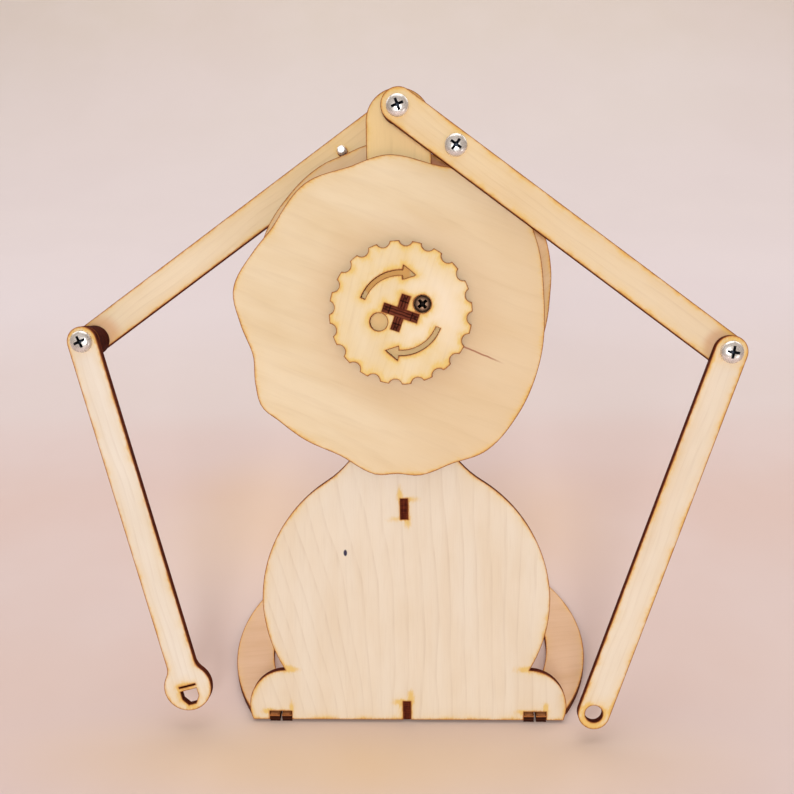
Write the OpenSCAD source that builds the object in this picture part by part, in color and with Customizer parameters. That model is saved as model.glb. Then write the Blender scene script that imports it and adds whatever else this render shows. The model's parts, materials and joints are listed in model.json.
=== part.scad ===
// Hand-cranked two-cam drawing machine, cut from 3 mm plywood sheet.
// The front plate leans back on a flat ring base. A knob turns two wavy cams,
// one on each side of the plate's post. Each cam lifts one upper arm through
// a follower screw, and the forearms carry a pencil between them.
// Units are millimetres, +Z is up, and the front faces -Y. The origin is on
// the floor at the centre of the ring base.

/* [Sheet] */
// Thickness of the plywood sheet
sheet_t = 3; // [2.8:0.1:3.4]
// Running gap between layers that move past each other
gap = 0.2; // [0.15:0.05:0.3]
// Thickness of the small round spacers
spacer_t = 3.2; // [3:0.1:3.3]
// Diameter of the small round spacers
spacer_d = 11; // [9:0.1:11.5]

/* [Front plate] */
// How far the plate leans back from upright, in degrees
lean = 20; // [14:1:24]
// Radius of the round body of the plate
body_r = 53.1; // [50:0.1:56]
// Height of the body's centre along the plate
body_h = 46.7; // [45:0.1:50]
// How much lower the centre of the body's upper half sits
body_drop = 1.1; // [0:0.1:1.5]
// Radius of the two foot lobes
lobe_r = 13.7; // [12:0.1:15]
// Distance of a lobe's centre from the middle
lobe_x = 45.4; // [43:0.1:47]
// Width of the post
post_w = 22.9; // [22:0.1:26]
// Height of the centre of the post's round top
post_h = 218.6; // [216:0.1:222]
// Radius of the fillet from the body into the post
neck_r = 37; // [25:1:40]

/* [Base] */
// Outer radius of the ring
ring_r = 71; // [68:1:76]
// Inner radius of the ring
ring_ri = 56; // [52:1:58]
// Distance of the ring's centre behind the plate's foot
ring_y = 42.5; // [40:0.5:46]
// Distance of a ring tab from the middle
tab_x = 47.5; // [46:0.1:49]
// Width of a ring tab
tab_w = 8.3; // [7:0.1:10]
// Height of the rib's upper tab along the plate
rib_tab_h = 76.4; // [70:0.1:78]
// Length of the rib's upper tab
rib_tab_l = 7.6; // [6:0.1:9]
// Thickness of the rib, and width of the slots that it fits
rib_t = 2.8; // [2.7:0.1:3.2]

/* [Cams and knob] */
// Height of the cam axis along the plate
cam_h = 151.6; // [150.5:0.1:152]
// Diameter of the knob over its tips
knob_d = 50.5; // [46:0.5:52]
// Number of finger scallops around the knob
scallops = 20; // [18:1:22]
// Length of each bar of the plus-shaped slot
bar_l = 12.9; // [12.6:0.1:13.4]
// Width of each bar of the plus-shaped slot
bar_w = 3.1; // [3:0.1:3.2]
// Tilt of the plus-shaped slot, in degrees
bar_tilt = -19.5; // [-45:0.5:45]
// Distance of the two knob holes from the axis
knob_hole_r = 8.3; // [8.2:0.1:9]
// Diameter of the two knob holes
knob_hole_d = 6.3; // [6.2:0.1:6.8]

/* [Right arm] */
// Height of the shoulder pivot along the plate
pivot_h = 222.5; // [221.5:0.1:223]
// Upper arm, from the shoulder to the elbow
r_upper_l = 142.5; // [135:0.5:150]
// Width of the upper arm
r_upper_w = 12.2; // [11:0.1:13]
// Height of the arm's middle line above its shoulder hole
r_upper_up = 0.4; // [0:0.1:1]
// Slope of the upper arm below level, in degrees
r_upper_a = 37.1; // [35:0.1:44]
// Forearm, from the elbow to the pencil hole
r_fore_l = 137.5; // [130:0.5:138]
// Width of the forearm
r_fore_w = 11.4; // [11:0.1:12.5]
// Slope of the forearm below level, in degrees
r_fore_a = 70.4; // [64:0.1:76]
// Diameter of the pencil hole
pencil_d = 6.3; // [6.2:0.1:7.4]

/* [Left arm] */
// Upper arm, from the shoulder to the elbow
l_upper_l = 139; // [134:0.5:146]
// Width of the upper arm
l_upper_w = 11.3; // [10.5:0.1:12]
// Height of the arm's middle line above its shoulder hole
l_upper_up = 1.5; // [0:0.1:1.6]
// Slope of the upper arm below level, in degrees
l_upper_a = 34.8; // [30:0.1:34.8]
// Forearm, from the elbow to the centre of the pencil clip
l_fore_l = 132.4; // [128:0.1:136]
// Width of the forearm
l_fore_w = 10.8; // [10:0.1:11.5]
// Slope of the forearm below level, in degrees
l_fore_a = 75.4; // [70:0.1:82]
// Outer radius of the pencil clip
clip_r = 8.8; // [8:0.1:9.5]

/* [Screws] */
// Thread diameter of the joint screws
bolt_d = 4; // [3.9:0.1:4]
// Bore of a piece that turns on a joint screw
run_d = 4.14; // [4.1:0.02:4.16]
// Head diameter of the pan-head screws
head_d = 7.9; // [7.4:0.1:8.4]
// Head height of the pan-head screws
head_h = 2.4; // [2:0.1:2.8]
// Thread diameter of the cam follower screws
follower_d = 3.2; // [3:0.1:3.6]
// Distance of a follower from the shoulder pivot
follower_l = 24.2; // [23.5:0.1:25]
// Offset of a follower above the arm's middle line
follower_up = 1; // [0.6:0.1:1.2]

/* [Hidden] */
$fn = 64;

// Layers, measured back from the front face of the plate
y_knob = -2*sheet_t - gap;                // knob, glued to the front cam
y_fcam = -sheet_t - gap;                  // front cam
y_bcam = sheet_t + gap;                   // back cam
y_rup  = -2*sheet_t - 2*gap;              // right upper arm and left forearm
y_rfo  = -3*sheet_t - 3*gap;              // right forearm
y_lup  = 2*sheet_t + 2*gap;               // left upper arm
lift   = sheet_t*sin(lean);               // the plate stands on its back edge
arrow_r = 14.2;
// Fillets between the left forearm and its pencil clip
clip_f = 6;
fv = l_fore_w/2 + clip_f;
fu = sqrt((clip_r + clip_f)*(clip_r + clip_f) - fv*fv);
fk = clip_r/(clip_r + clip_f);

// Height in the plate's own frame of a point at world height z, y behind its face
function plate_z(z, y) = (z - lift + y*sin(lean))/cos(lean);

// Corners of each joint
r_elbow = [ r_upper_l*cos(r_upper_a), pivot_h - r_upper_l*sin(r_upper_a)];
l_elbow = [-l_upper_l*cos(l_upper_a), pivot_h - l_upper_l*sin(l_upper_a)];

// Peaks and dips around each cam: [angle in degrees, radius in mm]
front_wave = [[5, 50.7], [27, 53.8], [46, 57.2], [60, 55.3], [76, 52.8], [94, 55.2], [109, 54.1],
              [126, 56.5], [145, 54.6], [157, 56.8], [171, 60.4], [183, 57.6], [195, 55.2],
              [205, 58.2], [213, 60.4], [220.8, 58.6], [231, 57.4], [246, 55.8], [260, 58.8], [268, 57.8],
              [276, 58.7], [288, 57], [301, 58], [318, 55.3], [340, 52.2]];
back_wave  = [[3, 53.2], [15, 55.6], [28, 58], [44, 59.2], [58, 56.6], [72, 56.2], [86, 58.6], [99, 60.7],
              [109.4, 59.7], [117, 59.8], [125, 59.2], [134, 58.2], [148, 57], [168, 53.6], [190, 51.8], [212, 53],
              [234, 54.8], [253, 53.2], [272, 52.4], [292, 54.4], [312, 52.2], [334, 50.8]];

// Smooth closed curve through the peaks and dips
function key(w, i) = let(n = len(w), k = (i % n + n) % n) [w[k][0] + 360*floor(i/n), w[k][1]];
function slope(w, i) = (key(w, i+1)[1] - key(w, i-1)[1])/(key(w, i+1)[0] - key(w, i-1)[0]);
function span(w, a, i = 0) = i < len(w) && w[i][0] <= a ? span(w, a, i+1) : i - 1;
function cam_radius(w, a) =
    let(i = span(w, a), p = key(w, i), q = key(w, i+1), h = q[0] - p[0], u = (a - p[0])/h)
    (2*u*u*u - 3*u*u + 1)*p[1] + (u*u*u - 2*u*u + u)*h*slope(w, i)
    + (3*u*u - 2*u*u*u)*q[1] + (u*u*u - u*u)*h*slope(w, i+1);

// Puts a shape that is drawn on the plate into its leaning place
module leaned() { translate([0, -ring_y, lift]) rotate([-lean, 0, 0]) children(); }

// One flat piece of sheet whose front face is at depth y0
module ply(y0, th = sheet_t) {
    translate([0, y0 + th, 0]) rotate([90, 0, 0]) linear_extrude(height = th) children();
}

// A round bar along the plate's normal, from depth y0 to y1
module rod(p, y0, y1, d) {
    translate([p[0], y1, p[1]]) rotate([90, 0, 0]) cylinder(h = y1 - y0, d = d);
}

// Flat strip with two round ends, from the origin to length l at an angle
module strip(p, l, a, w) {
    translate(p) rotate(a) {
        translate([0, -w/2]) square([l, w]);
        circle(d = w);
        translate([l, 0]) circle(d = w);
    }
}

// Pan-head screw with a cross recess: the head points along +z
module pan_screw(l, d, hd, hh) {
    difference() {
        rotate_extrude() polygon(concat([[0, -l], [d/2 - 0.4, -l], [d/2, -l + 0.5], [d/2, 0], [hd/2, 0], [hd/2, hh*0.3]],
            [for (k = [1:6]) [hd/2*cos(k*15), hh*0.3 + hh*0.7*sin(k*15)]]));
        for (k = [0, 90]) rotate(k + 18)
            translate([-hd*0.24, -hd*0.055, hh - 1.5]) cube([hd*0.48, hd*0.11, 2]);
    }
}

// Screw placed through the layers, with its head in front (flip = 0) or behind
module screw_at(p, y, l, d, hd, hh, flip = 0) {
    translate([p[0], y, p[1]]) rotate([flip ? -90 : 90, 0, 0]) pan_screw(l, d, hd, hh);
}

// Hexagon nut on the far side of a joint
module nut_at(p, y0, h = 3.2) {
    difference() {
        translate([p[0], y0 + h, p[1]]) rotate([90, 0, 0]) cylinder(h = h, d = 8.1, $fn = 6);
        rod(p, y0 - 1, y0 + h + 1, bolt_d);
    }
}

// Washer-like spacer cut from the sheet
module spacer_at(p, y0, hole) {
    difference() {
        rod(p, y0, y0 + spacer_t, spacer_d);
        rod(p, y0 - 1, y0 + spacer_t + 1, hole);
    }
}

// Outline of the front plate: body, foot lobes, neck and post
module plate_outline() {
    // the upper half is an arc that meets the lower one at the body's full width
    bt = body_h - body_drop;
    br = sqrt(body_r*body_r + body_drop*body_drop);
    a0 = asin(body_drop/br);
    cx = post_w/2 + neck_r;
    cz = bt + sqrt((br + neck_r)*(br + neck_r) - cx*cx);
    k = br/(br + neck_r);
    difference() {
        union() {
            polygon(concat([for (k = [0:80]) let(a = 180 + k*2.25) [body_r*cos(a), body_h + body_r*sin(a)]],
                [for (k = [1:79]) let(a = a0 + k*(180 - 2*a0)/80) [br*cos(a), bt + br*sin(a)]]));
            for (s = [-1, 1]) translate([s*lobe_x, 5.5]) circle(r = lobe_r);
            translate([-lobe_x, -1]) square([2*lobe_x, 5.5 + lobe_r + 1]);
            translate([-post_w/2, body_h]) square([post_w, post_h - body_h]);
            translate([0, post_h]) circle(d = post_w);
            difference() {
                polygon([[-cx*k, bt + (cz - bt)*k], [cx*k, bt + (cz - bt)*k], [post_w/2, cz], [-post_w/2, cz]]);
                for (s = [-1, 1]) translate([s*cx, cz]) circle(r = neck_r, $fn = 128);
            }
        }
        translate([-100, -30]) square([200, 30]);
    }
}

module front_plate() color("burlywood") leaned() difference() {
    ply(0) difference() {
        plate_outline();
        // slots for the rib
        translate([-rib_t/2, rib_tab_h]) square([rib_t, rib_tab_l]);
        translate([-rib_t/2, -1]) square([rib_t, 8.1]);
        // notches for the ring's tabs
        for (s = [-1, 1]) translate([s*tab_x - tab_w/2, -1]) square([tab_w, plate_z(sheet_t, sheet_t) + 1.05]);
    }
    rod([0, pivot_h], -1, sheet_t + 1, bolt_d);
    rod([0, cam_h], -1, sheet_t + 1, bar_l*1.026 + 0.15);
}

module base_ring() color("tan") difference() {
    union() {
        difference() {
            cylinder(h = sheet_t, r = ring_r, $fn = 180);
            translate([0, 0, -1]) cylinder(h = sheet_t + 2, r = ring_ri, $fn = 180);
            translate([-100, -100, -1]) cube([200, 104 - ring_y, sheet_t + 2]);
        }
        for (s = [-1, 1]) translate([s*tab_x - tab_w/2, 0.2 - ring_y, 0]) cube([tab_w, 7, sheet_t]);
    }
    // saw cut that lets each tab spring
    for (s = [-1, 1]) translate([s*tab_x - 0.4, -ring_y, -1]) cube([0.8, 10, sheet_t + 2]);
    // slot for the rib's rear tab
    translate([-rib_t/2, 60, -1]) cube([rib_t, 7, sheet_t + 2]);
}

// Upright rib between the plate and the back of the ring
module centre_rib() color("burlywood") {
    xo = -rib_t/2;
    top = rib_tab_h + rib_tab_l + 3.4;
    difference() {
        union() {
            // web, cut to the lean of the plate
            translate([xo, -ring_y, 0]) rotate([90, 0, 90]) linear_extrude(height = rib_t) polygon([
                [sheet_t*cos(lean), 0],
                [sheet_t*cos(lean) + top*sin(lean), top*cos(lean)],
                [sheet_t*cos(lean) + top*sin(lean) + 5, top*cos(lean) - 0.4],
                [ring_y + ring_r - 4, sheet_t + 6],
                [ring_y + ring_r - 1.5, sheet_t],
                [ring_y + ring_ri - 0.2, sheet_t],
                [ring_y + ring_ri - 0.2, 0]]);
            // rear tab through the ring
            translate([xo, 60, 0]) cube([rib_t, 7, sheet_t + 1]);
            // tabs through the plate
            leaned() {
                translate([xo, 0.4, rib_tab_h]) cube([rib_t, sheet_t + 1, rib_tab_l]);
                translate([xo, 0.4, 0]) cube([rib_t, sheet_t - 0.4, 7.1]);
                translate([xo, 0.4, 1.2]) cube([rib_t, sheet_t + 1, 5.9]);
            }
        }
        // hollow curve of the rear edge
        translate([-10, 118 - ring_y, 92]) rotate([0, 90, 0]) cylinder(h = 20, r = 70, $fn = 128);
    }
}

module pivot_screw() color("silver") leaned() screw_at([0, pivot_h], y_rup, 20, bolt_d, head_d, head_h);
module pivot_nut() color("silver") leaned() nut_at([0, pivot_h], y_lup + sheet_t + gap/2);
module pivot_spacer_front() color("saddlebrown") leaned() spacer_at([0, pivot_h], -spacer_t, bolt_d);
module pivot_spacer_back() color("saddlebrown") leaned() spacer_at([0, pivot_h], sheet_t, bolt_d);

// Plus-shaped opening for the shaft
module plus() { for (k = [0, 90]) rotate(bar_tilt + k) square([bar_l, bar_w], center = true); }

// Wavy cam disc around the shaft
module cam_disc(w) {
    translate([0, cam_h]) difference() {
        polygon([for (a = [0:2:358]) let(r = cam_radius(w, a < w[0][0] ? a + 360 : a)) [r*cos(a), r*sin(a)]]);
        plus();
    }
}

module front_cam() color("navajowhite") leaned() difference() {
    ply(y_fcam) cam_disc(front_wave);
    rod([knob_hole_r*cos(21.5), cam_h + knob_hole_r*sin(21.5)], y_fcam - 1, y_bcam - 1, 3);
}
module back_cam() color("navajowhite") leaned() ply(y_bcam) cam_disc(back_wave);

// One curved arrow window
module arrow() {
    polygon(concat(
        [for (a = [158:-4:86]) (arrow_r + 0.8)*[cos(a), sin(a)]],
        [(arrow_r + 2.5)*[cos(85.5), sin(85.5)], arrow_r*[cos(67.4), sin(67.4)], (arrow_r - 2.4)*[cos(85.5), sin(85.5)]],
        [for (a = [86:4:158]) (arrow_r - 0.8 - 0.2*(158 - a)/72)*[cos(a), sin(a)]]));
}

module knob() color("navajowhite") leaned() difference() {
    ply(y_knob) translate([0, cam_h]) difference() {
        circle(d = knob_d, $fn = 128);
        for (i = [0:scallops - 1]) rotate(13 + i*360/scallops) translate([knob_d/2 + 0.6, 0]) circle(r = 2.4, $fn = 32);
        plus();
        for (k = [0, 180]) rotate(k) arrow();
    }
    for (k = [21.5, 201.5]) rod([knob_hole_r*cos(k), cam_h + knob_hole_r*sin(k)], y_knob - 1, y_knob + sheet_t + 1, knob_hole_d);
}

// The shaft is two strips that slide into each other crosswise
module shaft_strip(front) {
    y0 = y_knob + 0.3;
    y1 = y_bcam + sheet_t + 0.8;
    ym = (y0 + y1)/2;
    translate([0, 0, cam_h]) rotate([0, -bar_tilt + (front ? 0 : 90), 0]) difference() {
        translate([-bar_l/2, y0, -bar_w/2]) cube([bar_l, y1 - y0, bar_w]);
        translate([-bar_w/2, front ? ym : y0 - 1, -bar_w]) cube([bar_w, front ? y1 - ym + 1 : ym - y0 + 1, 2*bar_w]);
    }
}
module shaft_strip_a() color("sienna") leaned() shaft_strip(true);
module shaft_strip_b() color("sienna") leaned() shaft_strip(false);

module knob_screw() color("dimgray") leaned()
    screw_at([knob_hole_r*cos(21.5), cam_h + knob_hole_r*sin(21.5)], y_fcam, 2.8, 3, 6.1, 1.9);

// Where a follower sits: s = 1 for the right arm, -1 for the left one
function follower(s, a) = [s*(follower_l*cos(a) + follower_up*sin(a)), pivot_h - follower_l*sin(a) + follower_up*cos(a)];

module right_upper_arm() color("burlywood") leaned() difference() {
    ply(y_rup) translate([0, pivot_h]) rotate(-r_upper_a) strip([0, r_upper_up], r_upper_l, -0.2, r_upper_w);
    rod([0, pivot_h], y_rup - 1, 0, run_d);
    rod(follower(1, r_upper_a), y_rup - 1, 0, follower_d);
    rod(r_elbow, y_rup - 1, 0, bolt_d);
}
module right_follower_screw() color("silver") leaned() screw_at(follower(1, r_upper_a), y_rup, 8.4, follower_d, head_d, head_h);
module right_elbow_screw() color("silver") leaned() screw_at(r_elbow, y_rfo, 10.6, bolt_d, head_d, head_h);
module right_elbow_nut() color("silver") leaned() nut_at(r_elbow, y_rup + sheet_t);

module right_forearm() color("burlywood") leaned() difference() {
    ply(y_rfo) strip(r_elbow, r_fore_l, 180 + r_fore_a, r_fore_w);
    rod(r_elbow, y_rfo - 1, y_rup, run_d);
    rod(r_elbow - r_fore_l*[cos(r_fore_a), sin(r_fore_a)], y_rfo - 1, y_rup, pencil_d);
}

module left_upper_arm() color("burlywood") leaned() difference() {
    // its middle line runs a little above the holes, more so at the shoulder
    ply(y_lup) translate([0, pivot_h]) rotate(180 + l_upper_a) strip([0, -l_upper_up], l_upper_l, 0.2, l_upper_w);
    rod([0, pivot_h], y_lup - 1, y_lup + sheet_t + 1, run_d);
    rod(follower(-1, l_upper_a), y_lup - 1, y_lup + sheet_t + 1, follower_d);
    rod(l_elbow, y_lup - 1, y_lup + sheet_t + 1, bolt_d);
}
module left_follower_screw() color("silver") leaned() screw_at(follower(-1, l_upper_a), y_lup + sheet_t, 8.4, follower_d, head_d, head_h, 1);
module left_elbow_screw() color("silver") leaned() screw_at(l_elbow, y_rup, 20, bolt_d, head_d, head_h);
module left_elbow_nut() color("silver") leaned() nut_at(l_elbow, y_lup + sheet_t);
module left_spacer_front() color("saddlebrown") leaned() spacer_at(l_elbow, y_lup - 3*spacer_t, bolt_d);
module left_spacer_middle() color("saddlebrown") leaned() spacer_at(l_elbow, y_lup - 2*spacer_t, bolt_d);
module left_spacer_back() color("saddlebrown") leaned() spacer_at(l_elbow, y_lup - spacer_t, bolt_d);

// Shield-shaped hole and spring slit of the pencil clip, along the arm's +x
module clip_cut() {
    polygon([[1, -3.1], [4, -3.1], [6.5, -1.4], [6.5, 1.4], [4, 3.1], [1, 3.1]]);
    translate([-0.8, -3.1]) square([0.5, 6.2]);
}

module left_forearm() color("burlywood") leaned() difference() {
    ply(y_rup) translate(l_elbow) rotate(-l_fore_a) difference() {
        union() {
            translate([0, -l_fore_w/2]) square([l_fore_l, l_fore_w]);
            circle(d = l_fore_w);
            translate([l_fore_l, 0]) circle(r = clip_r);
            // fillets where the arm widens into the clip
            difference() {
                polygon([[l_fore_l - fu, -l_fore_w/2], [l_fore_l - fu*fk, -fv*fk], [l_fore_l - fu*fk, fv*fk], [l_fore_l - fu, l_fore_w/2]]);
                for (s = [-1, 1]) translate([l_fore_l - fu, s*fv]) circle(r = clip_f);
            }
        }
        translate([l_fore_l, 0]) clip_cut();
    }
    rod(l_elbow, y_rup - 1, y_rup + sheet_t + 1, run_d);
}

front_plate();
base_ring();
centre_rib();
pivot_screw();
pivot_nut();
pivot_spacer_front();
pivot_spacer_back();
front_cam();
back_cam();
knob();
shaft_strip_a();
shaft_strip_b();
knob_screw();
right_upper_arm();
right_follower_screw();
right_elbow_screw();
right_elbow_nut();
right_forearm();
left_upper_arm();
left_follower_screw();
left_elbow_screw();
left_elbow_nut();
left_spacer_front();
left_spacer_middle();
left_spacer_back();
left_forearm();
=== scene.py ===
import json
import math
import bmesh
import bpy
import numpy as np
from mathutils import Matrix, Vector, geometry, kdtree


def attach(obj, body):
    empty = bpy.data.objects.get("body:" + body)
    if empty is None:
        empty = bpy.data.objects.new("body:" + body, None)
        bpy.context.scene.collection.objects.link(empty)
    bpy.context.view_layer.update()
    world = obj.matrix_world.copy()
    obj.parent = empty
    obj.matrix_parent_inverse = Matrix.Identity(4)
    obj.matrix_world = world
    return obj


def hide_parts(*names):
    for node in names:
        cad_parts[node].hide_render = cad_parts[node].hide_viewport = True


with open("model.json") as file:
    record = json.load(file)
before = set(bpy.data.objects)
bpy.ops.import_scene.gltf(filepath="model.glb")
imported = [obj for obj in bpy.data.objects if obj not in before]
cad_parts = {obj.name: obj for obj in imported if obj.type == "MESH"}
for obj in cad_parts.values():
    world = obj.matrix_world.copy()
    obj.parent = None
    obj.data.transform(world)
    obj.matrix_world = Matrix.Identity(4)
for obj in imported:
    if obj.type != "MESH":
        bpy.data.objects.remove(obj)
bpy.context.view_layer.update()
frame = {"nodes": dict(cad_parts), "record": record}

NODES, RECORD = frame["nodes"], frame["record"]
JOINTS = {j["name"]: j for j in RECORD["behaviour"]["joints"]}
MM = 0.001

# ---------------------------------------------------------------- the leaning plate's own axes
spin = JOINTS["cam_spin"]
BACK = Vector(spin["axis"]).normalized()
RIGHT = Vector((1.0, 0.0, 0.0))
UP = BACK.cross(RIGHT) * -1.0
CAM_V = 151.6
PLATE_O = Vector(spin["pos_m"]) - BACK * 1.5 * MM - UP * CAM_V * MM


class Plane:
    """A sheet's plane: u and v lie in it, w goes in from the side that is seen."""

    def __init__(self, o, u, v, w):
        self.o, self.u, self.v, self.w = (np.array(a, float) for a in (o, u, v, w))

    def to(self, co):
        d = (np.asarray(co, float) - self.o) / MM
        return np.stack([d @ self.u, d @ self.v, d @ self.w], -1)

    def out(self, p):
        p = np.asarray(p, float)
        return self.o + MM * (p[:, :1] * self.u + p[:, 1:2] * self.v + p[:, 2:3] * self.w)


FRONT = Plane(PLATE_O, RIGHT, UP, BACK)
FLOOR = Plane((0, 0, 0), (1, 0, 0), (0, 1, 0), (0, 0, -1))
SIDE = Plane((0, 0, 0), (0, 1, 0), (0, 0, 1), (-1, 0, 0))


# ---------------------------------------------------------------- sheet pieces built from the CAD outline
def face_loops(node, plane):
    """Closed outlines of the flat face of a CAD node that is seen, and the sheet's two depths."""
    me = NODES[node].data
    co = np.empty(len(me.vertices) * 3)
    me.vertices.foreach_get("co", co)
    p = plane.to(co.reshape(-1, 3))
    w0, w1 = p[:, 2].min(), p[:, 2].max()
    near = kdtree.KDTree(len(p))
    for i, q in enumerate(p):
        near.insert(q, i)
    near.balance()
    vid = np.full(len(p), -1)
    rep = []
    for i, q in enumerate(p):
        if vid[i] < 0:
            for _, k, _ in near.find_range(q, 0.006):
                if vid[k] < 0:
                    vid[k] = len(rep)
            rep.append(q)
    rep = np.array(rep)
    half = set()
    for poly in me.polygons:
        v = [vid[i] for i in poly.vertices]
        if all(abs(rep[i][2] - w0) < 0.01 for i in v):
            for a, b in zip(v, v[1:] + v[:1]):
                if a != b:
                    half.add((a, b))
    nxt = {}
    for a, b in half:
        if (b, a) not in half:
            nxt.setdefault(a, []).append(b)
    loops = []
    while nxt:
        a = next(iter(nxt))
        loop = [a]
        while True:
            b = nxt[loop[-1]].pop()
            if not nxt[loop[-1]]:
                del nxt[loop[-1]]
            if b == a:
                break
            loop.append(b)
        loops.append(rep[loop][:, :2])
    loops.sort(key=lambda l: -abs(area(l)))
    return loops, w0, w1


def area(l):
    x, y = l[:, 0], l[:, 1]
    return 0.5 * float(np.sum(x * np.roll(y, -1) - np.roll(x, -1) * y))


def resample(l, step):
    keep = [l[0]]
    for q in l[1:]:
        if np.hypot(*(q - keep[-1])) > 0.03:
            keep.append(q)
    if np.hypot(*(keep[0] - keep[-1])) < 0.03:
        keep.pop()
    out = []
    for a, b in zip(keep, keep[1:] + keep[:1]):
        n = max(1, int(math.ceil(np.hypot(*(b - a)) / step)))
        out += [a + (b - a) * k / n for k in range(n)]
    return np.array(out)


def inset(l, c):
    d1 = l - np.roll(l, 1, 0)
    d2 = np.roll(l, -1, 0) - l
    d1 /= np.linalg.norm(d1, axis=1)[:, None]
    d2 /= np.linalg.norm(d2, axis=1)[:, None]
    n1 = np.stack([-d1[:, 1], d1[:, 0]], -1)
    n2 = np.stack([-d2[:, 1], d2[:, 0]], -1)
    n = n1 + n2
    ln = np.linalg.norm(n, axis=1)[:, None]
    n = np.where(ln > 1e-6, n / np.maximum(ln, 1e-6), n1)
    cosh = np.maximum((n * n1).sum(1), 0.55)[:, None]
    return l + n * c / cosh


def inside(p, loops):
    odd = np.zeros(len(p), bool)
    for l in loops:
        a, b = l, np.roll(l, -1, 0)
        for s in range(0, len(p), 4000):
            q = p[s : s + 4000]
            y, x = q[:, 1:2], q[:, :1]
            cond = (a[:, 1] > y) != (b[:, 1] > y)
            with np.errstate(divide="ignore", invalid="ignore"):
                xi = (b[:, 0] - a[:, 0]) * (y - a[:, 1]) / (b[:, 1] - a[:, 1]) + a[:, 0]
            odd[s : s + 4000] ^= (np.sum(cond & (x < xi), 1) % 2).astype(bool)
    return odd


def tree_of(loops):
    pts, seg = [], []
    for l in loops:
        b = np.roll(l, -1, 0)
        for p, q in zip(l, b):
            n = max(1, int(math.ceil(np.hypot(*(q - p)) / 0.25)))
            for k in range(n):
                pts.append(p + (q - p) * (k + 0.5) / n)
                seg.append((p, q))
    t = kdtree.KDTree(len(pts))
    for i, p in enumerate(pts):
        t.insert((p[0], p[1], 0.0), i)
    t.balance()
    return t, seg


def distances(p, tree):
    t, seg = tree
    out = np.empty(len(p))
    for i, q in enumerate(p):
        _, k, _ = t.find((q[0], q[1], 0.0))
        a, b = seg[k]
        d = b - a
        s = min(1.0, max(0.0, float((q - a) @ d) / float(d @ d)))
        out[i] = np.hypot(*(q - a - s * d))
    return out


def new_object(name, me, *mats):
    o = bpy.data.objects.new(name, me)
    bpy.context.scene.collection.objects.link(o)
    for m in mats:
        me.materials.append(m)
    return o


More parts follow.
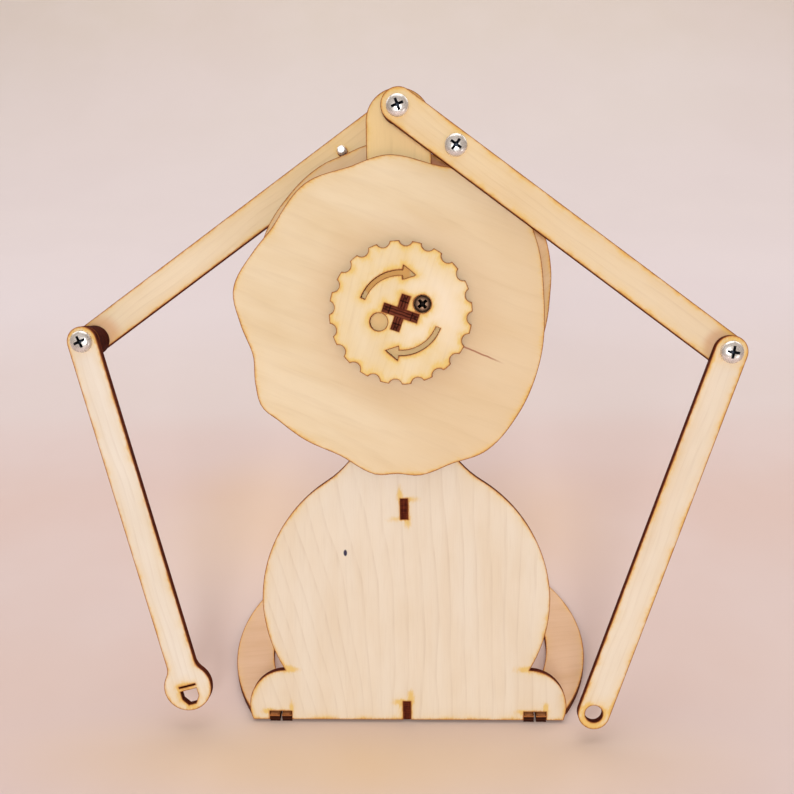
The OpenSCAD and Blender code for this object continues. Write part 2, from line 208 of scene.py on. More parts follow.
def sheet_piece(name, node, plane, body, face_mat, wall_mat, grain=90.0, fine=0.75, reach=4.5, coarse=5.0, shift=(0.0, 0.0), edge=0.12):
    """A laser-cut piece: the CAD outline, softened edges, and how far each point is from a cut."""
    raw, w0, w1 = face_loops(node, plane)
    loops = [resample(l, fine) for l in raw]
    if area(loops[0]) < 0:
        loops = [l[::-1] for l in loops]
    inner = [inset(l, edge) for l in loops]
    outer_tree = tree_of(loops[:1])
    hole_tree = tree_of(loops[1:]) if len(loops) > 1 else None
    lo, hi = loops[0].min(0), loops[0].max(0)

    def grid(step):
        xs = np.arange(lo[0], hi[0] + step, step)
        ys = np.arange(lo[1], hi[1] + step, step * 0.866)
        g = np.array([(x + (0.5 * step if j % 2 else 0.0), y) for j, y in enumerate(ys) for x in xs])
        return g[inside(g, loops)]

    def near(g):
        d = distances(g, outer_tree)
        return np.minimum(d, distances(g, hole_tree)) if hole_tree else d

    big = grid(coarse)
    dbig = near(big)
    small = grid(fine)
    dsmall = near(small)
    small = small[(dsmall < reach) & (dsmall > edge + fine * 0.45)]
    big = big[dbig > reach + coarse * 0.35]
    flat = np.concatenate(inner)
    verts = [Vector(q) for q in np.concatenate([flat, small, big])]
    edges, start = [], 0
    for l in inner:
        n = len(l)
        edges += [(start + k, start + (k + 1) % n) for k in range(n)]
        start += n
    r = geometry.delaunay_2d_cdt(verts, edges, [], 0, 1e-6)
    pts = np.array([(v[0], v[1]) for v in r[0]])
    tri = np.array([f for f in r[2]])
    keep = inside(pts[tri].mean(1), inner)
    tri = tri[keep]
    a, b, c = (pts[tri[:, k]] for k in range(3))
    cross = (b[:, 0] - a[:, 0]) * (c[:, 1] - a[:, 1]) - (b[:, 1] - a[:, 1]) * (c[:, 0] - a[:, 0])
    tri = tri[np.abs(cross) > 1e-7]
    cross = cross[np.abs(cross) > 1e-7]
    tri[cross < 0] = tri[cross < 0][:, ::-1]
    where = {}
    for i, src in enumerate(r[3]):
        for s in src:
            where[s] = i
    n_face = len(pts)
    d_out = distances(pts, outer_tree)
    d_in = distances(pts, hole_tree) if hole_tree else np.full(n_face, 50.0)
    co = [np.column_stack([pts, np.full(n_face, w0)]), np.column_stack([pts, np.full(n_face, w1)])]
    att = [np.column_stack([d_out, d_in])] * 2
    faces = [tuple(t) for t in tri] + [tuple(t[::-1] + n_face) for t in tri]
    n_front = len(faces)
    ca, sa = math.cos(math.radians(grain)), math.sin(math.radians(grain))

    def guv(p):
        q = np.asarray(p) - np.array([0.0, 0.0])
        return ((q[0] * ca + q[1] * sa + shift[0]) * 0.01, (-q[0] * sa + q[1] * ca + shift[1]) * 0.01)

    uvs = []
    for t in tri:
        uvs += [guv(pts[i]) for i in t]
    for t in tri:
        uvs += [guv(pts[i]) for i in t[::-1]]
    base = 2 * n_face
    rows = [w0 + edge] + [w0 + edge + (w1 - w0 - 2 * edge) * k / 4 for k in (1, 2, 3)] + [w1 - edge]
    start = 0
    for li, (l, inn) in enumerate(zip(loops, inner)):
        n = len(l)
        ring = [[where[start + k] for k in range(n)]]
        for w in rows:
            ring.append([base + k for k in range(n)])
            co.append(np.column_stack([l, np.full(n, w)]))
            att.append(np.zeros((n, 2)))
            base += n
        ring.append([where[start + k] + n_face for k in range(n)])
        ws = [w0] + rows + [w1]
        seg = np.hypot(*(np.roll(l, -1, 0) - l).T)
        arc = np.concatenate([[0.0], np.cumsum(seg)]) + 37.0 * li
        for j in range(len(ring) - 1):
            for k in range(n):
                k2 = (k + 1) % n
                f = (ring[j][k], ring[j + 1][k], ring[j + 1][k2], ring[j][k2])
                if len(set(f)) < 4:
                    f = tuple(dict.fromkeys(f))
                    if len(f) < 3:
                        continue
                    faces.append(f)
                    uvs += [(arc[k] * 0.01, (ws[j] - w0) * 0.01)] * len(f)
                    continue
                faces.append(f)
                uvs += [(arc[k] * 0.01, (ws[j] - w0) * 0.01), (arc[k] * 0.01, (ws[j + 1] - w0) * 0.01),
                        (arc[k + 1] * 0.01, (ws[j + 1] - w0) * 0.01), (arc[k + 1] * 0.01, (ws[j] - w0) * 0.01)]
        start += n
    co = plane.out(np.concatenate(co))
    att = np.concatenate(att)
    me = bpy.data.meshes.new(name)
    me.from_pydata([tuple(c) for c in co], [], faces)
    me.polygons.foreach_set("material_index", [0] * n_front + [1] * (len(faces) - n_front))
    me.polygons.foreach_set("use_smooth", [False] * n_front + [True] * (len(faces) - n_front))
    uv = me.uv_layers.new(name="grain")
    uv.data.foreach_set("uv", np.array(uvs, np.float32).ravel())
    for k, an in enumerate(("d_out", "d_in")):
        at = me.attributes.new(an, "FLOAT", "POINT")
        at.data.foreach_set("value", np.minimum(att[:, k], 50.0).astype(np.float32))
    side = np.zeros(len(att), np.float32)
    side[:n_face] = 1.0
    me.attributes.new("side", "FLOAT", "POINT").data.foreach_set("value", side)
    mark_sharp(me, 35)
    me.validate()
    o = new_object(name, me, face_mat, wall_mat)
    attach(o, body)
    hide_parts(node)
    return o


def mark_sharp(me, angle):
    bm = bmesh.new()
    bm.from_mesh(me)
    lim = math.radians(angle)
    for e in bm.edges:
        e.smooth = not (len(e.link_faces) != 2 or e.calc_face_angle(0.0) > lim)
    bm.to_mesh(me)
    bm.free()


# ---------------------------------------------------------------- materials
def lin(r, g, b):
    def f(c):
        c /= 255.0
        return c / 12.92 if c <= 0.04045 else ((c + 0.055) / 1.055) ** 2.4
    return (f(r), f(g), f(b), 1.0)


class Tree:
    def __init__(self, name):
        self.m = bpy.data.materials.new(name)
        self.m.use_nodes = True
        self.t = self.m.node_tree
        self.t.nodes.clear()
        self.out = self.t.nodes.new("ShaderNodeOutputMaterial")
        self.bsdf = self.t.nodes.new("ShaderNodeBsdfPrincipled")
        self.t.links.new(self.bsdf.outputs[0], self.out.inputs[0])

    def n(self, kind, **kw):
        x = self.t.nodes.new("ShaderNode" + kind)
        for k, v in kw.items():
            setattr(x, k, v)
        return x

    def put(self, sock, v):
        if isinstance(v, bpy.types.NodeSocket):
            self.t.links.new(v, sock)
        else:
            sock.default_value = v

    def math(self, op, a, b=0.0, c=None, clamp=False):
        x = self.n("Math", operation=op, use_clamp=clamp)
        self.put(x.inputs[0], a)
        self.put(x.inputs[1], b)
        if c is not None:
            self.put(x.inputs[2], c)
        return x.outputs[0]

    def mix(self, f, a, b, blend="MIX"):
        x = self.n("Mix", data_type="RGBA", blend_type=blend)
        self.put(x.inputs[0], f)
        self.put(x.inputs[6], a)
        self.put(x.inputs[7], b)
        return x.outputs[2]

    def step(self, v, lo, hi, a=0.0, b=1.0):
        x = self.n("MapRange", interpolation_type="SMOOTHSTEP")
        self.put(x.inputs[0], v)
        for i, k in enumerate((lo, hi, a, b)):
            self.put(x.inputs[i + 1], k)
        return x.outputs[0]

    def noise(self, vec, scale=1.0, detail=2.0, rough=0.5, distortion=0.0):
        x = self.n("TexNoise", noise_dimensions="3D")
        self.put(x.inputs["Vector"], vec)
        x.inputs["Scale"].default_value = scale
        x.inputs["Detail"].default_value = detail
        x.inputs["Roughness"].default_value = rough
        x.inputs["Distortion"].default_value = distortion
        return x.outputs[0]

    def vec(self, x, y, z=0.0):
        c = self.n("CombineXYZ")
        self.put(c.inputs[0], x)
        self.put(c.inputs[1], y)
        self.put(c.inputs[2], z)
        return c.outputs[0]

    def grain(self):
        uv = self.n("UVMap", uv_map="grain")
        s = self.n("SeparateXYZ")
        self.t.links.new(uv.outputs[0], s.inputs[0])
        return self.math("MULTIPLY", s.outputs[0], 100.0), self.math("MULTIPLY", s.outputs[1], 100.0)

    def attr(self, name):
        return self.n("Attribute", attribute_type="GEOMETRY", attribute_name=name).outputs["Fac"]


def veneer(name, light, dark, seed, halo=0.8, halo_w=2.3, hole_halo=0.95, hole_w=2.6, smoke=0.3, rings=0.05, ring_gap=3.2, fan=None,
           warm=(236, 190, 100), singe=(214, 144, 64), char_col=(168, 94, 40), marks=(), painted_light_and_shade_ramp=None, tab=False, fibre_k=0.05, line_w=0.16):
    """Raw birch veneer: mottling, growth rings, fibres, and the scorch beside each laser cut, with ramps and round
    patches of painted light and shade where asked for.
    """
    t = Tree(name)
    gx, gy = t.grain()
    M = lambda a, b: t.math("MULTIPLY", a, b)
    broad = t.noise(t.vec(M(gx, 0.016), M(gy, 0.075), seed), 1.0, 3.0, 0.55)
    cloud = t.noise(t.vec(M(gx, 0.045), M(gy, 0.055), seed + 3.1), 1.0, 2.0, 0.5)
    fibre = t.noise(t.vec(M(gx, 0.14), M(gy, 3.2), seed + 7.7), 1.0, 4.0, 0.62)
    vein = t.noise(t.vec(M(gx, 0.05), M(gy, 0.9), seed + 9.3), 1.0, 2.0, 0.5)
    wob = t.noise(t.vec(M(gx, 0.012), M(gy, 0.03), seed + 11.0), 1.0, 2.0, 0.5)
    if fan:
        # lines that lean over more and more towards one side of the sheet
        reach, most, x0 = fan
        ph = t.math("SUBTRACT", M(t.step(gy, -4.0, reach, 0.0, most), t.math("SUBTRACT", gx, x0)), gy)
    else:
        ph = gy
    ph = t.math("ADD", t.math("DIVIDE", ph, ring_gap), M(wob, 2.2 if fan else 5.0))
    saw = t.math("FRACT", ph)
    line = M(t.step(saw, 1.0 - line_w * 2.6, 1.0 - line_w * 0.5), t.step(saw, 1.0 - line_w * 0.4, 1.0, 1.0, 0.0))
    late = M(t.step(saw, 0.2, 1.0 - line_w * 0.5), t.step(saw, 1.0 - line_w * 0.4, 1.0, 1.0, 0.0))
    ringy = M(t.math("ADD", M(line, 0.75), M(late, 0.25)), t.step(vein, 0.30, 0.66, 0.25, 1.0))
    col = t.mix(t.step(broad, 0.3, 0.72), lin(*light), lin(*dark))
    col = t.mix(M(t.step(cloud, 0.35, 0.75), 0.3), col, lin(*[min(255, c + 6) for c in light]))
    # painted light and shade: the colour ramps towards c along the grain from a to b, standing in for how light and
    # shade fall over the piece
    if painted_light_and_shade_ramp:
        a, b, c, k = painted_light_and_shade_ramp
        col = t.mix(t.step(gx, a, b, 0.0, k), col, lin(*c))
    shade = t.math("ADD", M(ringy, rings), M(t.step(fibre, 0.45, 0.85), fibre_k))
    shade = t.math("ADD", shade, M(t.step(vein, 0.55, 0.85), fibre_k * 0.8))
    col = t.mix(t.math("MINIMUM", M(shade, 2.0), 1.0), col, lin(int(dark[0] * 0.80), int(dark[1] * 0.70), int(dark[2] * 0.58)))
    # scorch
    do, di = t.attr("d_out"), t.attr("d_in")
    side = t.attr("side") if marks else None
    blot = t.noise(t.vec(M(gx, 0.11), M(gy, 0.11), seed + 31.0), 1.0, 2.0, 0.5)
    patch = t.noise(t.vec(M(gx, 0.35), M(gy, 0.35), seed + 34.0), 1.0, 1.0, 0.5)
    grit = t.noise(t.vec(M(gx, 0.6), M(gy, 1.6), seed + 37.0), 1.0, 2.0, 0.5)
    amp = t.math("MULTIPLY", t.step(blot, 0.32, 0.66, 0.45, 1.15), t.step(patch, 0.3, 0.7, 0.75, 1.15))
    wid = M(t.step(grit, 0.3, 0.7, 0.78, 1.22), t.step(blot, 0.3, 0.7, 0.8, 1.25))
    ho = t.step(t.math("DIVIDE", do, wid), 0.0, halo_w, 1.0, 0.0)
    ho2 = t.step(do, 0.0, halo_w * 2.4, smoke, 0.0)
    hi = t.step(t.math("DIVIDE", di, wid), 0.0, hole_w, 1.0, 0.0)
    hi2 = t.step(di, 0.0, hole_w * 1.9, smoke * 1.2, 0.0)
    burn = t.math("ADD", M(M(ho, ho), halo), M(M(hi, hi), hole_halo))
    burn = t.math("ADD", burn, t.math("ADD", ho2, hi2))
    burn = M(burn, amp)
    for m in marks:
        if m[0] == "smoke":
            _, x1, y1, rad, k = m
            dx, dy = t.math("SUBTRACT", gx, x1), t.math("SUBTRACT", gy, y1)
            rr = t.math("DIVIDE", t.math("SQRT", t.math("ADD", M(dx, dx), M(dy, dy))), wid)
            f = t.step(rr, 0.0, rad, 1.0, 0.0)
            burn = t.math("ADD", burn, M(M(f, side), k))
        if m[0] == "streak":
            _, x1, y1, lx, ly, k = m
            dx = M(t.math("SUBTRACT", gx, x1), 1.0 / lx)
            dy = M(t.math("SUBTRACT", gy, y1), 1.0 / ly)
            rr = t.math("DIVIDE", t.math("SQRT", t.math("ADD", M(dx, dx), M(dy, dy))), wid)
            f = t.step(rr, 0.0, 1.0, 1.0, 0.0)
            burn = t.math("ADD", burn, M(M(f, side), k))
        # painted light and shade: a round patch mixed towards colour c, at strength k inside r0 and gone by r1, on the
        # seen face only; a paler c paints light, a darker c paints shade
        if m[0] == "painted_light_and_shade_patch":
            _, x1, y1, r0, r1, k, c = m
            dx, dy = t.math("SUBTRACT", gx, x1), t.math("SUBTRACT", gy, y1)
            f = t.step(t.math("SQRT", t.math("ADD", M(dx, dx), M(dy, dy))), r0, r1, k, 0.0)
            col = t.mix(M(f, side), col, lin(*c))
    burn = t.math("MINIMUM", burn, 1.0)
    col = t.mix(M(burn, 0.92), col, lin(*warm))
    dmin = t.math("MINIMUM", do, di)
    sing = t.step(t.math("DIVIDE", dmin, wid), 0.15, 1.05, 1.0, 0.0)
    col = t.mix(M(M(sing, sing), 0.72), col, lin(*singe))
    char = t.step(t.math("DIVIDE", dmin, wid), 0.10, 0.42, 1.0, 0.0)
    col = t.mix(M(char, 0.85), col, lin(*char_col))
    for m in marks:
        if m[0] == "crack":
            _, x1, y1, x2, y2, wdt, strength = m
            ln = math.hypot(x2 - x1, y2 - y1)
            ux, uy = (x2 - x1) / ln, (y2 - y1) / ln
            ex, ey = t.math("SUBTRACT", gx, x1), t.math("SUBTRACT", gy, y1)
            al = t.math("ADD", M(ex, ux), M(ey, uy))
            ac = t.math("ADD", M(ex, -uy), M(ey, ux))
            wv = t.noise(t.vec(M(al, 0.35), 0.0, seed + 50.0), 1.0, 2.0, 0.5)
            ac = t.math("ABSOLUTE", t.math("ADD", ac, M(t.math("SUBTRACT", wv, 0.5), 0.5)))
            f = M(t.step(ac, wdt * 0.3, wdt, 1.0, 0.0), M(t.step(al, -1.0, 0.0), t.step(al, ln * 0.55, ln, 1.0, 0.0)))
            col = t.mix(M(M(f, side), strength), col, lin(168, 92, 58))
        if m[0] == "speck":
            _, x1, y1, rad, c = m
            dx, dy = t.math("SUBTRACT", gx, x1), t.math("SUBTRACT", gy, y1)
            rr = t.math("SQRT", t.math("ADD", M(M(dx, dx), 0.3), M(dy, dy)))
            col = t.mix(M(M(t.step(rr, rad * 0.62, rad, 1.0, 0.0), side), 0.96), col, lin(*c))
    if tab:
        # tongues scorched all over
        sp = t.n("SeparateXYZ")
        t.t.links.new(t.n("TexCoord").outputs["Object"], sp.inputs[0])
        here = t.step(sp.outputs[1], -0.0392, -0.0380, 1.0, 0.0)
        scorch = t.mix(t.step(grit, 0.3, 0.7), lin(200, 122, 66), lin(166, 90, 46))
        col = t.mix(M(here, 0.9), col, scorch)
        col = t.mix(M(M(char, here), 0.85), col, lin(46, 20, 12))
    t.put(t.bsdf.inputs["Base Color"], col)
    t.put(t.bsdf.inputs["Roughness"], t.step(fibre, 0.3, 0.8, 0.54, 0.70))
    t.bsdf.inputs["Specular IOR Level"].default_value = 0.25
    b = t.n("Bump")
    b.inputs["Strength"].default_value = 0.35
    b.inputs["Distance"].default_value = 0.00006
    t.put(b.inputs["Height"], t.math("SUBTRACT", fibre, M(char, 0.6)))
    t.t.links.new(b.outputs[0], t.bsdf.inputs["Normal"])
    return t.m


def burnt_edge(name, seed, dark=(66, 21, 12), warm=(128, 56, 30), tab=False, along=False, lip_k=0.75):
    """The cut edge: charred, with the plies and the laser's fine upright marks."""
    t = Tree(name)
    gx, gy = t.grain()
    plies = t.math("FRACT", t.math("ADD", t.math("DIVIDE", gy, 1.02), 0.02))
    glue = t.math("ADD", t.step(plies, 0.0, 0.10, 1.0, 0.0), t.step(plies, 0.90, 1.0))
    if along:
        marks = t.noise(t.vec(t.math("MULTIPLY", gx, 0.35), t.math("MULTIPLY", gy, 3.6), seed), 1.0, 3.0, 0.6)
    else:
        marks = t.noise(t.vec(t.math("MULTIPLY", gx, 2.6), t.math("MULTIPLY", gy, 0.25), seed), 1.0, 3.0, 0.6)
    soot = t.noise(t.vec(t.math("MULTIPLY", gx, 0.22), t.math("MULTIPLY", gy, 0.8), seed + 4.0), 1.0, 2.0, 0.5)
    face = t.step(gy, 0.0, 0.55, 1.0, 0.0)
    f = t.math("ADD", t.math("MULTIPLY", t.step(marks, 0.35, 0.75), 0.45), t.math("MULTIPLY", t.step(soot, 0.35, 0.7), 0.35))
    f = t.math("ADD", f, t.math("MULTIPLY", face, 0.25))
    f = t.math("SUBTRACT", f, t.math("MULTIPLY", glue, 0.40), clamp=True)
    col = t.mix(f, lin(*dark), lin(*warm))
    if not along:
        # the lip of the cut is only toasted
        lip = t.math("MAXIMUM", t.step(gy, 0.02, 0.30, 1.0, 0.0), t.step(gy, 2.70, 2.98))
        col = t.mix(t.math("MULTIPLY", lip, lip_k), col, lin(150, 82, 38))
    if along:
        # darker along the shaft strips' ply grooves, at their rims and over the shallow step near each end; half dark
        # over the plain back halves
        col = t.mix(t.math("MULTIPLY", t.attr("dark_marks"), 0.85, clamp=True), col, lin(26, 9, 7))
    if tab:
        # the two tongues that show in the plate's notches: orange-brown along the top, dark with ply lines below
        s = t.n("SeparateXYZ")
        t.t.links.new(t.n("TexCoord").outputs["Object"], s.inputs[0])
        here = t.step(s.outputs[1], -0.0402, -0.0398, 1.0, 0.0)
        top = t.step(t.math("ADD", gy, t.math("MULTIPLY", t.math("SUBTRACT", soot, 0.5), 0.8)), 0.15, 0.75, 1.0, 0.0)
        band = t.step(plies, 0.25, 0.5, 0.0, 1.0)
        tone = t.mix(t.math("MULTIPLY", band, 0.25), lin(38, 16, 10), lin(120, 60, 32))
        tone = t.mix(top, tone, lin(196, 120, 66))
        tone = t.mix(t.math("MULTIPLY", t.step(marks, 0.4, 0.75), 0.35), tone, lin(60, 28, 16))
        col = t.mix(here, col, tone)
    t.put(t.bsdf.inputs["Base Color"], col)
    t.put(t.bsdf.inputs["Roughness"], t.step(marks, 0.3, 0.8, 0.75, 0.9))
    t.bsdf.inputs["Specular IOR Level"].default_value = 0.06
    b = t.n("Bump")
    b.inputs["Strength"].default_value = 0.5
    b.inputs["Distance"].default_value = 0.00008
    t.put(b.inputs["Height"], t.math("SUBTRACT", marks, glue))
    t.t.links.new(b.outputs[0], t.bsdf.inputs["Normal"])
    return t.m


def metal(name, base, rough, seed=0.0, dull=0.0, matt=0.0):
    """Bright zinc plating with faint handling marks; given a dark base and more spots it makes the darker, duller
    painted shade of a screw's recess.
    """
    t = Tree(name)
    co = t.n("TexCoord").outputs["Object"]
    spots = t.noise(co, 900.0, 3.0, 0.6)
    smear = t.noise(co, 260.0, 2.0, 0.5)
    col = t.mix(t.step(smear, 0.35, 0.7), lin(*base), lin(*[int(c * 0.90) for c in base]))
    col = t.mix(t.math("MULTIPLY", t.step(spots, 0.58, 0.72), 0.35 + dull), col, lin(*[int(c * 0.6) for c in base]))
    t.put(t.bsdf.inputs["Base Color"], col)
    t.bsdf.inputs["Metallic"].default_value = 1.0 - matt
    t.put(t.bsdf.inputs["Roughness"], t.step(spots, 0.3, 0.75, rough, rough + 0.16))
    b = t.n("Bump")
    b.inputs["Strength"].default_value = 0.15
    b.inputs["Distance"].default_value = 0.00003
    t.put(b.inputs["Height"], spots)
    t.t.links.new(b.outputs[0], t.bsdf.inputs["Normal"])
    return t.m


EDGE = burnt_edge("burnt_edge", 1.0)
EDGE_DISC = burnt_edge("burnt_edge_disc", 3.0, (52, 17, 14), (96, 38, 30), lip_k=0.10)
EDGE_RING = burnt_edge("burnt_edge_ring", 5.0, (66, 30, 18), (128, 70, 40), tab=True)
SHAFT = burnt_edge("burnt_shaft", 9.0, (84, 32, 22), (150, 78, 54), along=True)
ZINC = metal("bright_zinc", (236, 226, 216), 0.20, matt=0.38)
DARK_ZINC = metal("shaded_zinc", (176, 138, 110), 0.48, 3.0, 0.2)
# RECESS and RECESS_DARK colour the screws' cross recesses: painted shade, darkest for the knob screw sunk in its hole
RECESS = metal("screw_recess", (58, 62, 70), 0.45, 5.0, 0.3)
RECESS_DARK = metal("knob_screw_recess", (30, 24, 20), 0.5, 6.0, 0.3)

# ---------------------------------------------------------------- sheet pieces
# On the plate the ramp turns the post more orange from 120 mm up, fully so by 190 mm: painted shade. The round patch
# near the pivot is painted shade too.
BODY_MAT = veneer("veneer_plate", (239, 220, 196), (234, 210, 180), 2.0, halo=0.78, halo_w=2.5, hole_halo=0.7, hole_w=1.3, smoke=0.16,
                  rings=0.078, ring_gap=5.4, fan=(48.0, 0.36, 55.0), line_w=0.10, painted_light_and_shade_ramp=(120.0, 190.0, (243, 206, 144), 0.95), warm=(234, 192, 108),
                  marks=[("speck", 63.9, 21.9, 0.80, (22, 12, 62)),
                         ("streak", 85.4, 1.5, 4.4, 1.7, 1.3), ("streak", 83.8, -2.8, 1.5, 3.8, 0.8),
                         ("streak", 75.2, -1.2, 3.4, 1.9, 1.0), ("streak", 76.5, 3.2, 1.6, 3.8, 0.7),
                         ("streak", 8.6, -1.4, 4.4, 1.6, 1.4), ("streak", 6.9, 2.6, 1.7, 3.6, 1.1),
                         ("streak", 3.2, 52.6, 1.8, 3.2, 1.2), ("streak", 4.7, 43.4, 3.2, 1.6, 1.3),
                         ("streak", 3.2, -42.6, 1.8, 3.2, 1.0), ("streak", 4.7, -51.4, 3.2, 1.6, 1.3),
                         ("streak", 19.4, 43.4, 1.9, 4.2, 1.3), ("streak", 19.4, -43.4, 1.9, 4.2, 1.3),
                         # painted shade: a darker brown patch on the post beside the pivot
                         ("painted_light_and_shade_patch", 227.0, -7.0, 2.5, 6.0, 0.7, (150, 90, 46))])
CAM_MAT = veneer("veneer_front_cam", (241, 216, 178), (233, 203, 158), 14.0, halo=0.75, halo_w=2.4, rings=0.035, ring_gap=7.5, smoke=0.16, line_w=0.2, fibre_k=0.035,
                 # painted shade: the ramp darkens the cam towards its right and lower side, as if in the knob's shadow
                 painted_light_and_shade_ramp=(-75.0, -8.0, (230, 195, 150), 0.6),
                 # painted shade: a darker ring round the knob; painted light: the cam is brighter and warmer under the
                 # knob's windows, and orange under the arrow window
                 marks=[("crack", -32.2, 137.5, -15.2, 137.0, 0.42, 0.85), ("painted_light_and_shade_patch", -56.8, 140.6, 24.5, 40.0, 0.42, (222, 180, 132)), ("painted_light_and_shade_patch", -56.8, 140.6, 20.5, 23.0, 1.0, (255, 208, 141)),
                        ("painted_light_and_shade_patch", -66.6, 150.8, 8.2, 9.4, 0.9, (255, 182, 92))])
BCAM_MAT = veneer("veneer_back_cam", (232, 196, 152), (220, 178, 130), 23.0, halo=0.6, halo_w=2.0, rings=0.05, ring_gap=4.0, smoke=0.18,
                  # painted shade: a dark red-brown patch on the back cam's front face, in the gap beside the post
                  # under the right upper arm
                  marks=[("painted_light_and_shade_patch", 125.2, 158.0, 4.0, 10.0, 0.85, (166, 92, 62))])
KNOB_MAT = veneer("veneer_knob", (243, 219, 180), (237, 208, 160), 33.0, halo=1.0, halo_w=3.2, hole_halo=0.95, hole_w=2.8, smoke=0.45, rings=0.04, ring_gap=2.6,
                  # painted light: a paler patch over the knob's right side
                  warm=(238, 198, 110), marks=[("painted_light_and_shade_patch", 150.3, 24.8, 3.0, 22.0, 0.6, (255, 234, 208))])
RU_MAT = veneer("veneer_right_upper", (240, 211, 166), (233, 198, 148), 41.0, halo=0.85, halo_w=2.4, smoke=0.30, rings=0.045, ring_gap=2.6,
                # painted light: the ramp pales the arm towards its elbow end; painted shade: an orange-brown patch on
                # the arm beside the forearm's end
                painted_light_and_shade_ramp=(-125.0, 0.0, (238, 214, 182), 0.65), marks=[("painted_light_and_shade_patch", 7.0, 177.4, 6.0, 9.5, 0.5, (216, 146, 92))])
RF_MAT = veneer("veneer_right_fore", (240, 221, 196), (233, 209, 180), 52.0, halo=0.85, halo_w=2.2, hole_halo=1.0, hole_w=3.4, smoke=0.26, rings=0.05, ring_gap=2.4)
LU_MAT = veneer("veneer_left_upper", (243, 219, 184), (235, 206, 166), 63.0, halo=0.65, halo_w=1.9, smoke=0.2, rings=0.06, ring_gap=2.2,
                # painted shade: the ramp makes the arm more orange towards the pivot, and an orange patch lies beside
                # the spacer discs at the elbow
                painted_light_and_shade_ramp=(30.0, 110.0, (236, 200, 144), 0.85), marks=[("painted_light_and_shade_patch", -9.5, 182.7, 4.5, 10.0, 0.65, (224, 160, 104))])
LF_MAT = veneer("veneer_left_fore", (243, 227, 207), (236, 216, 190), 74.0, halo=0.62, halo_w=2.0, hole_halo=1.0, hole_w=2.8, smoke=0.26, rings=0.05, ring_gap=2.4)
RING_MAT = veneer("veneer_ring", (225, 185, 150), (216, 173, 134), 85.0, halo=0.5, halo_w=1.8, smoke=0.15, rings=0.035, ring_gap=3.4, tab=True)
RIB_MAT = veneer("veneer_rib", (232, 200, 156), (222, 184, 136), 96.0, halo=0.7, halo_w=2.0, smoke=0.2, rings=0.07, ring_gap=2.8)
SPACER_MAT = veneer("veneer_spacer", (226, 184, 130), (212, 164, 108), 107.0, halo=1.0, halo_w=2.6, hole_halo=1.0, hole_w=2.0, smoke=0.5)

sheet_piece("front_plate_sheet", "front_plate", FRONT, "frame", BODY_MAT, EDGE, 90)
sheet_piece("base_ring_sheet", "base_ring", FLOOR, "frame", RING_MAT, EDGE_RING, 8)
sheet_piece("centre_rib_sheet", "centre_rib", SIDE, "frame", RIB_MAT, EDGE, 20)
sheet_piece("front_cam_sheet", "front_cam", FRONT, "cam_rotor", CAM_MAT, EDGE, -22)
sheet_piece("back_cam_sheet", "back_cam", FRONT, "cam_rotor", BCAM_MAT, EDGE, 35)
sheet_piece("knob_sheet", "knob", FRONT, "cam_rotor", KNOB_MAT, EDGE, 75, fine=0.6)
sheet_piece("right_upper_arm_sheet", "right_upper_arm", FRONT, "right_upper", RU_MAT, EDGE, -37.1, fine=0.7)
sheet_piece("right_forearm_sheet", "right_forearm", FRONT, "right_fore", RF_MAT, EDGE, 70.4, fine=0.7)
sheet_piece("left_upper_arm_sheet", "left_upper_arm", FRONT, "left_upper", LU_MAT, EDGE, 34.8, fine=0.7)
sheet_piece("left_forearm_sheet", "left_forearm", FRONT, "left_fore", LF_MAT, EDGE, -75.6, fine=0.45)
for n, body in (("pivot_spacer_front", "frame"), ("pivot_spacer_back", "frame"), ("left_spacer_front", "left_upper"),
                ("left_spacer_middle", "left_upper"), ("left_spacer_back", "left_upper")):
    sheet_piece(n + "_disc", n, FRONT, body, SPACER_MAT, EDGE_DISC, 40, fine=0.5)

